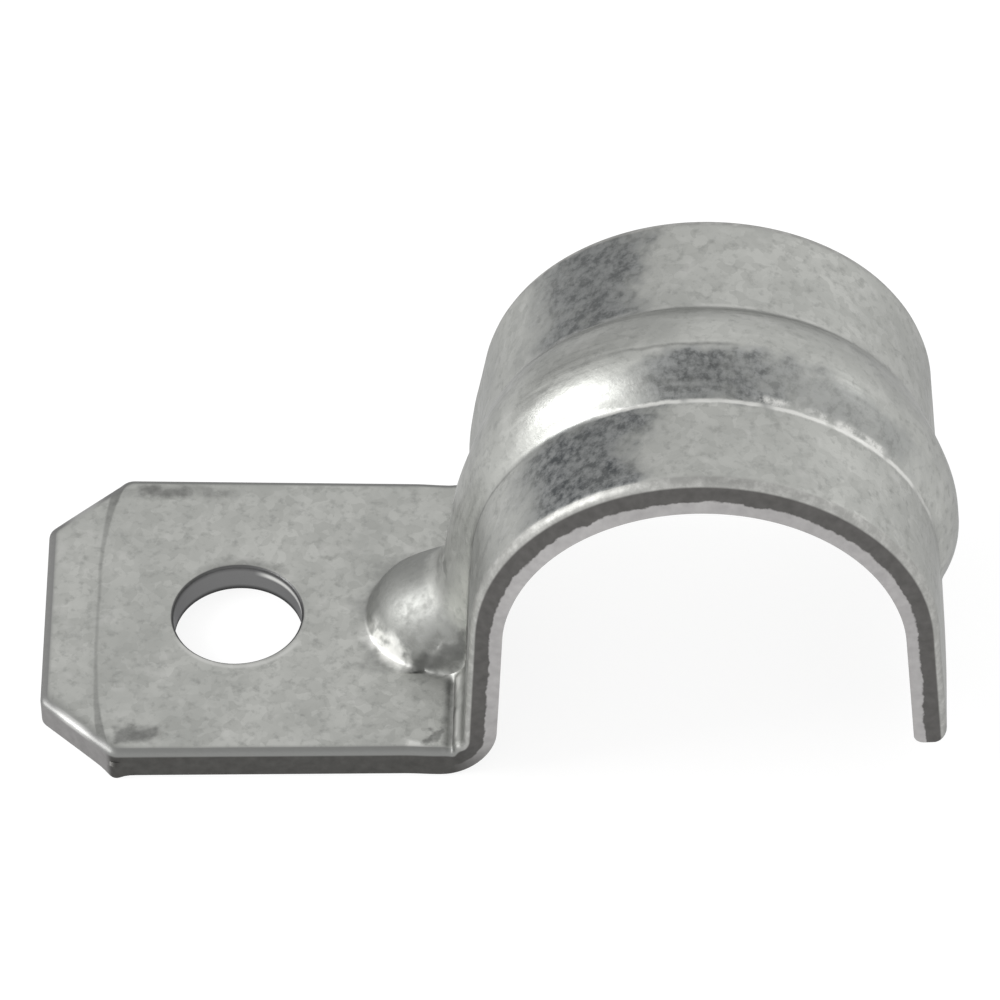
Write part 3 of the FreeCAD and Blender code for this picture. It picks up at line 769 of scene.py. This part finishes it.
dome_area = zinc_both(zinc_band(dull_x, 0.0076, 0.0140, 0.0008),
                      zinc_band(dull_y, -0.0041, 0.0041, 0.0005))
on_dome = zinc_both(dome_area, zinc_ramp(cloud, (0.36, 0.35), (0.58, 1.0)))
on_front = zinc_step(strip_y, -0.0036, -0.0046)
dull_and_dark_reflection = zinc_most(shoulder, crown, zinc_times(crown_side, 0.55), zinc_times(on_dome, 0.45))
gaps = zinc_ramp(zinc_noise(380.0, 3.0, 0.6), (0.34, 0.62), (0.50, 1.0))
dull_and_dark_reflection = zinc_both(dull_and_dark_reflection, upper, zinc_most(gaps, zinc_times(on_front, 0.9)))
# Painted dark reflection: the mottled blue-grey colour of these patches.
dark_reflection_coat = zinc_mix(zinc_ramp(fleck, (0.38, 0.0), (0.64, 1.0)), (0.095, 0.101, 0.104),
                     (0.33, 0.338, 0.338))
fuller = zinc_plus(0.84, zinc_times(on_front, 0.15))
coat_colour = zinc_mix(zinc_times(dull_and_dark_reflection, fuller), light_coat, dark_reflection_coat)
# Painted dark reflection: the dome's outer face darker all over, in soft cloudy patches.
coat_colour = zinc_mix(zinc_both(dome_area, upper, zinc_ramp(cloud, (0.36, 0.30), (0.58, 0.62))),
                       coat_colour, (0.285, 0.288, 0.275))
# Painted light: a pale patch low on the leg's bead, above the dome.
neck_painted_light = zinc_both(zinc_band(strip_x, 0.0158, 0.0225, 0.0016),
                 zinc_band(strip_y, -0.0026, 0.0042, 0.0010), upper)
coat_colour = zinc_mix(zinc_times(neck_painted_light, 0.70), coat_colour, (0.66, 0.665, 0.64))

# Painted shade and dark reflections: dark reflections along the foot's edges and along the
# bead's crown; painted shade in the fold, in the pucker by the dome, along the bead's front
# crease on the leg and beside the front clipped corner; and a dark line at the die's border
# step and a dark patch behind the hole.
back_edge_dark_reflection = zinc_both(zinc_band(dull_x, -0.0060, -0.0016, 0.0012),
                     zinc_band(dull_y, 0.0086, 0.0094, 0.0003))
front_edge_dark_reflection = zinc_both(zinc_band(dull_x, -0.0066, -0.0040, 0.0005),
                      zinc_band(dull_y, -0.0092, -0.0081, 0.0003))
fold_shade_line = zinc_both(zinc_band(strip_x, 0.01145, 0.01188, 0.00022),
                      zinc_band(zinc_wander(strip_y, 700.0, 0.0006), -0.0096, -0.0046, 0.0002))
fold_shade_spot = zinc_both(zinc_band(dull_x, 0.0109, 0.0117, 0.0002),
                      zinc_band(dull_y, -0.0093, -0.0084, 0.0002))
pinch_shade = zinc_both(zinc_band(zinc_wander(strip_y, 800.0, 0.0007), -0.00420, -0.00375, 0.00012),
                  zinc_band(strip_x, 0.0094, 0.0166, 0.0006))
edge_way = zinc_math("POWER", zinc_math("DIVIDE", zinc_math("ABSOLUTE", strip_y), BORDER_CORNER),
                     BORDER_POWER)
border_place = zinc_math("SUBTRACT", zinc_wander(strip_x, 400.0, 0.0002), zinc_times(edge_way, BORDER_BOW))
border_off = zinc_math("SUBTRACT", zinc_math("ABSOLUTE", zinc_plus(border_place, BORDER_ALONG)),
                       zinc_times(edge_way, 0.00020))
border_line = zinc_both(zinc_step(border_off, 0.00016, 0.00001),
                        zinc_plus(0.42, zinc_times(edge_way, 0.48)))
crown_reflection_line = zinc_both(zinc_band(zinc_wander(strip_y, 420.0, 0.0006), -0.00078, -0.00060, 0.00009),
                      zinc_band(dull_x, 0.0360, 0.0420, 0.0012))
leg_crease_shade = zinc_both(zinc_band(zinc_wander(strip_y, 900.0, 0.00015), -0.00402, -0.00386, 0.00008),
                       zinc_band(strip_x, 0.0180, 0.0290, 0.0020))
dark_patch_behind_hole = zinc_both(zinc_band(hole_way, hole_radius + 0.0001, hole_radius + 0.0006, 0.0003),
                   zinc_step(strip_y, 0.0026, 0.0036))
clip_x = zinc_plus(strip_x, zinc_times(zinc_math("ABSOLUTE", strip_y), -1.08))
clip_edge_shade = zinc_both(zinc_step(clip_x, -0.0156, -0.0168), zinc_step(strip_y, -0.0040, -0.0060))
# Painted shade and dark reflections, with the border line and the patch behind the hole, darken the coat.
painted_shade_and_dark_marks = zinc_most(back_edge_dark_reflection, front_edge_dark_reflection, fold_shade_line, fold_shade_spot, border_line, pinch_shade, zinc_times(dark_patch_behind_hole, 0.6),
                  zinc_times(zinc_most(crown_reflection_line, leg_crease_shade), 0.6), zinc_times(clip_edge_shade, 0.7))
coat_colour = zinc_mix(zinc_both(painted_shade_and_dark_marks, upper, zinc_plus(0.45, zinc_times(fleck, 0.7))),
                       coat_colour, (0.17, 0.172, 0.165))

# Painted highlights: bright lines along the foot of the bead and in the fold, on zinc the
# die's edge burnished, and a bright patch low on the dome.
crease_y = zinc_wander(strip_y, 1300.0, 0.00022)
front_crease = zinc_both(zinc_band(crease_y, -0.00396, -0.00371, 0.00008),
                         zinc_band(strip_x, 0.0345, 0.0565, 0.0020))
crease_highlight_patch = zinc_both(zinc_most(zinc_band(dull_x, 0.0466, 0.0520, 0.0008),
                              zinc_band(dull_x, 0.0430, 0.0450, 0.0006)),
                    zinc_band(crease_y, -0.00398, -0.00338, 0.00012), zinc_step(fleck, 0.30, 0.62))
back_crease = zinc_both(zinc_band(crease_y, 0.00312, 0.00334, 0.00010),
                        zinc_band(strip_x, 0.0280, 0.0480, 0.0030))
fold_ridge = zinc_both(zinc_band(strip_x, 0.01212, 0.01246, 0.00010),
                       zinc_band(strip_y, -0.0091, -0.0048, 0.0002))
fold_corner_highlight = zinc_both(zinc_band(dull_x, 0.0095, 0.0110, 0.0003),
                       zinc_band(dull_y, -0.0098, -0.0092, 0.0002))
burnish_and_painted_highlight = zinc_both(zinc_most(front_crease, crease_highlight_patch, zinc_times(back_crease, 0.32), fold_ridge, fold_corner_highlight),
                    upper, zinc_step(zinc_noise(500.0, 2.0), 0.34, 0.50))
coat_colour = zinc_mix(burnish_and_painted_highlight, coat_colour, (0.70, 0.70, 0.675))
DOME_ALONG, DOME_ACROSS = 0.0110, -0.0003
from_dome = zinc_node("ShaderNodeCombineXYZ")
zinc_link(zinc_math("SUBTRACT", strip_x, DOME_ALONG), from_dome.inputs["X"])
zinc_link(zinc_math("SUBTRACT", strip_y, DOME_ACROSS), from_dome.inputs["Y"])
dome_way = zinc_node("ShaderNodeVectorMath", operation="LENGTH")
zinc_link(from_dome.outputs[0], dome_way.inputs[0])
# Painted highlight: a bright patch on the dome's front rim, towards the foot's end.
rim_way = zinc_wander(dome_way.outputs["Value"], 900.0, 0.0008)
dome_rim = zinc_both(zinc_band(rim_way, 0.0030, 0.0043, 0.0004),
                     zinc_step(dull_x, 0.0106, 0.0096), zinc_step(strip_y, -0.0006, -0.0018),
                     zinc_step(zinc_noise(1100.0, 3.0), 0.26, 0.58))
coat_colour = zinc_mix(zinc_both(dome_rim, upper), coat_colour, (0.95, 0.95, 0.92))

# A painted highlight on the hole's punched lip, on its front side.
lip_highlight = zinc_both(zinc_band(hole_way, hole_radius + 0.0002, hole_radius + 0.00042, 0.00008), upper,
                zinc_step(zinc_times(strip_y, -1.0), 0.0012, 0.0030))
coat_colour = zinc_mix(zinc_times(lip_highlight, 0.7), coat_colour, (0.62, 0.62, 0.60))

# Sheared faces: the rolled edge, the dark smooth band, the torn band and the hole's wall.
on_foot = zinc_not(zinc_step(strip_x, 0.0115, 0.0135))
on_clips = zinc_step(zinc_times(strip_x, -1.0), 0.0064, 0.0068)
rolled = zinc_both(zinc_step(depth_in_sheet, 0.002, 0.020), zinc_not(in_hole))
arch_roll = zinc_mix(zinc_ramp(fleck, (0.42, 0.0), (0.72, 1.0)), (0.37, 0.37, 0.355), (0.52, 0.52, 0.50))
rolled_coat = zinc_mix(on_foot, arch_roll, (0.250, 0.253, 0.245))
# Painted highlight: the clipped corner's rolled edge lighter along the middle of its length.
clip_roll = zinc_mix(zinc_band(strip_x, -0.0094, -0.0078, 0.0005), (0.27, 0.27, 0.265), (0.46, 0.46, 0.45))
coat_colour = zinc_mix(rolled, coat_colour, zinc_mix(on_clips, rolled_coat, clip_roll))
ragged = zinc_wander(zinc_wander(depth_in_sheet, 1700.0, 0.18), 520.0, 0.20)
torn = zinc_both(zinc_ramp(ragged, (0.62, 0.0), (0.67, 1.0)), zinc_not(on_foot))
torn = zinc_most(torn, zinc_times(on_clips, 0.6))
shear_grain = zinc_noise(1900.0, 2.0)
dark_shear = zinc_mix(on_foot, zinc_mix(shear_grain, (0.080, 0.078, 0.075), (0.145, 0.140, 0.136)),
                      zinc_mix(shear_grain, (0.060, 0.059, 0.056), (0.110, 0.108, 0.103)))
pale_shear = zinc_mix(shear_grain, (0.37, 0.36, 0.36), (0.53, 0.52, 0.515))
cut_colour = zinc_mix(torn, dark_shear, pale_shear)
# The hole's wall: painted shadow darkens it towards its lower edge, and it is darker at its rolled rim.
hole_colour = zinc_mix(zinc_step(depth_in_sheet, 0.78, 0.97), (0.19, 0.19, 0.19), (0.05, 0.05, 0.05))
hole_colour = zinc_mix(zinc_step(depth_in_sheet, 0.05, 0.25), (0.12, 0.12, 0.12), hole_colour)
hole_place = zinc_node("ShaderNodeSeparateXYZ")
zinc_link(object_place.outputs["Object"], hole_place.inputs[0])
# A painted glint on the wall at the hole's right.
glint = zinc_both(zinc_band(depth_in_sheet, 0.17, 0.33, 0.06),
                  zinc_step(hole_place.outputs["X"], 0.0006, 0.0016),
                  zinc_step(hole_place.outputs["Y"], -0.0006, 0.0004))
hole_colour = zinc_mix(glint, hole_colour, (0.70, 0.70, 0.68))
in_wall = zinc_both(in_hole, zinc_step(depth_in_sheet, 0.002, 0.02), above_lower_face)
colour = zinc_mix(in_wall, zinc_mix(cut_face, coat_colour, cut_colour), hole_colour)
zinc_link(colour, zinc_shader.inputs["Base Color"])

# Gloss: satin zinc, duller on the dome, with fine draw streaks along the bead.
gloss = zinc_ramp(zinc_plus(zinc_times(crystal, 0.5), zinc_times(fleck, 0.5)), (0.2, 0.36), (0.8, 0.52))
gloss = zinc_mix(dull_and_dark_reflection, gloss, zinc_ramp(fleck, (0.3, 0.50), (0.7, 0.36)))
streak_place = zinc_node("ShaderNodeCombineXYZ")
zinc_link(zinc_times(strip_x, 150.0), streak_place.inputs["X"])
zinc_link(zinc_times(strip_y, 2600.0), streak_place.inputs["Y"])
streak = zinc_noise(1.0, 2.0, 0.5, streak_place.outputs[0])
on_bead = zinc_both(zinc_band(strip_y, BEAD_FRONT + 0.0002, BEAD_BACK - 0.0002, 0.0004),
                    zinc_step(strip_x, 0.0180, 0.0260))
gloss = zinc_mix(zinc_both(on_dome, upper), gloss, zinc_ramp(fleck, (0.3, 0.66), (0.7, 0.46)))
gloss = zinc_mix(rolled, gloss, (0.50, 0.50, 0.50))
gloss = zinc_mix(on_bead, gloss, zinc_ramp(streak, (0.35, 0.31), (0.68, 0.49)))
cut_gloss = zinc_mix(torn, (0.40, 0.40, 0.40), (0.62, 0.62, 0.62))
zinc_link(zinc_mix(cut_face, gloss, cut_gloss), zinc_shader.inputs["Roughness"])
grit = zinc_node("ShaderNodeBump")
grit.inputs["Strength"].default_value = 0.30
grit.inputs["Distance"].default_value = 0.00006
zinc_link(zinc_plus(fleck, zinc_times(cloud, 1.5)), grit.inputs["Height"])
zinc_link(grit.outputs["Normal"], zinc_shader.inputs["Normal"])
coat.inputs["Material"].default_value = zinc

# The pressed strap, taken out of the tree as a plain mesh.
press_step = blank_piece.modifiers.new("press_and_fold", "NODES")
press_step.node_group = press
for identifier, value in press_sizes.items():
    press_step[identifier] = value
bpy.context.view_layer.update()
pressed = blank_piece.evaluated_get(bpy.context.evaluated_depsgraph_get())
strap_mesh = bpy.data.meshes.new_from_object(pressed)
strap_mesh.name = "pressed_strap"
bpy.data.objects.remove(blank_piece)
strap_mesh.set_sharp_from_angle(angle=math.radians(38))
strap = bpy.data.objects.new("pressed_strap", strap_mesh)
bpy.context.scene.collection.objects.link(strap)
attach(strap, "root")
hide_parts("conduit_strap")

# ---------------------------------------------------------------------------
# Studio: a pale table in plain soft light.  The room is bright all round but
# for two dimmer headings, with a strong lamp at the left and a faint one at the
# right, a little behind.
# ---------------------------------------------------------------------------
floor_mesh = bpy.data.meshes.new("table_top")
reach = 1.5
floor_mesh.from_pydata([(-reach, -reach, 0), (reach, -reach, 0), (reach, reach, 0), (-reach, reach, 0)],
                       [], [(0, 1, 2, 3)])
floor = bpy.data.objects.new("table_top", floor_mesh)
floor.location.z = solid_bounds[0][2] - 0.00005
bpy.context.scene.collection.objects.link(floor)
white = bpy.data.materials.new("white_table")
white.use_nodes = True
white_nodes, white_links = white.node_tree.nodes, white.node_tree.links
white_shader = white_nodes["Principled BSDF"]
white_shader.inputs["Base Color"].default_value = (0.22, 0.22, 0.22, 1)
white_shader.inputs["Roughness"].default_value = 1.0
white_shader.inputs["Specular IOR Level"].default_value = 0.0
glow = white_nodes.new("ShaderNodeEmission")
glow.inputs["Color"].default_value = (1, 1, 1, 1)
glow.inputs["Strength"].default_value = 0.84
rays = white_nodes.new("ShaderNodeLightPath")
lit = white_nodes.new("ShaderNodeAddShader")
white_links.new(white_shader.outputs[0], lit.inputs[0])
white_links.new(glow.outputs[0], lit.inputs[1])
white_mix = white_nodes.new("ShaderNodeMixShader")
seen = white_nodes.new("ShaderNodeMath")
seen.operation = "MAXIMUM"
white_links.new(rays.outputs["Is Camera Ray"], seen.inputs[0])
white_links.new(rays.outputs["Is Glossy Ray"], seen.inputs[1])
white_links.new(seen.outputs[0], white_mix.inputs[0])
white_links.new(white_shader.outputs[0], white_mix.inputs[1])
white_links.new(lit.outputs[0], white_mix.inputs[2])
white_links.new(white_mix.outputs[0], white_nodes["Material Output"].inputs["Surface"])
floor_mesh.materials.append(white)

world = bpy.data.worlds.new("studio")
world.use_nodes = True
bpy.context.scene.world = world
sky_nodes, sky_links = world.node_tree.nodes, world.node_tree.links
sky = sky_nodes["Background"]
sky_place = sky_nodes.new("ShaderNodeTexCoord")


def shade_towards(heading, wide, narrow, level, before):
    """The room is dimmer towards one heading, for example past the edge of the overhead light."""
    dot = sky_nodes.new("ShaderNodeVectorMath")
    dot.operation = "DOT_PRODUCT"
    dot.inputs[1].default_value = Vector(heading).normalized()
    sky_links.new(sky_place.outputs["Generated"], dot.inputs[0])
    ease = sky_nodes.new("ShaderNodeMapRange")
    ease.interpolation_type = "SMOOTHSTEP"
    ease.inputs["From Min"].default_value = math.cos(math.radians(wide))
    ease.inputs["From Max"].default_value = math.cos(math.radians(narrow))
    sky_links.new(dot.outputs["Value"], ease.inputs["Value"])
    mix = sky_nodes.new("ShaderNodeMix")
    mix.data_type = "RGBA"
    mix.inputs[7].default_value = (level, level, level, 1)
    sky_links.new(ease.outputs["Result"], mix.inputs[0])
    if before is None:
        mix.inputs[6].default_value = (1.0, 1.0, 1.0, 1)
    else:
        sky_links.new(before, mix.inputs[6])
    return mix.outputs[2]


room = shade_towards((-0.62, 0.70, 0.28), 42, 8, 0.50, None)
room = shade_towards((-0.03, -0.10, 1.0), 36, 8, 0.50, room)
sky_rays = sky_nodes.new("ShaderNodeLightPath")
sky_mix = sky_nodes.new("ShaderNodeMix")
sky_mix.data_type = "RGBA"
sky_links.new(sky_rays.outputs["Is Camera Ray"], sky_mix.inputs[0])
sky_links.new(room, sky_mix.inputs[6])
sky_mix.inputs[7].default_value = (1, 1, 1, 1)
sky_links.new(sky_mix.outputs[2], sky.inputs["Color"])


def soft_box(name, place, aim, width, height, power):
    lamp = bpy.data.lights.new(name, "AREA")
    lamp.shape = "RECTANGLE"
    lamp.size, lamp.size_y, lamp.energy = width, height, power
    box = bpy.data.objects.new(name, lamp)
    box.location = place
    box.rotation_euler = (Vector(aim) - Vector(place)).to_track_quat("-Z", "Y").to_euler()
    bpy.context.scene.collection.objects.link(box)


middle = (saddle_x / 2, 0, saddle_z)
soft_box("key_light", (-0.41, -0.03, 0.30), middle, 0.24, 0.24, 1.3)
soft_box("side_light", (0.45, 0.22, 0.20), middle, 0.16, 0.16, 0.08)

# The camera looks down on the strap from the front, from well back through a long lens.
LENS = 324.0
ELEVATION, AZIMUTH, ROLL = math.radians(47.1), math.radians(-2.77), math.radians(-1.96)
VIEW_DISTANCE, VIEW_LEFT, VIEW_UP = 0.4953, 0.01139, 0.00758
ahead = Vector((math.sin(AZIMUTH) * math.cos(ELEVATION), math.cos(AZIMUTH) * math.cos(ELEVATION),
                -math.sin(ELEVATION)))
level_right = Vector((math.cos(AZIMUTH), -math.sin(AZIMUTH), 0))
level_up = level_right.cross(ahead)
right = level_right * math.cos(ROLL) + level_up * math.sin(ROLL)
up = level_up * math.cos(ROLL) - level_right * math.sin(ROLL)
lens = bpy.data.cameras.new("camera")
lens.lens = LENS
lens.sensor_width = 36.0
lens.clip_start, lens.clip_end = 0.01, 5.0
camera = bpy.data.objects.new("camera", lens)
camera_place = Vector((saddle_x, 0, 0)) - right * VIEW_LEFT + up * VIEW_UP - ahead * VIEW_DISTANCE
camera.matrix_world = Matrix.Translation(camera_place) @ Matrix((right, up, -ahead)).transposed().to_4x4()
bpy.context.scene.collection.objects.link(camera)
bpy.context.scene.camera = camera
bpy.context.scene.view_settings.view_transform = "Standard"
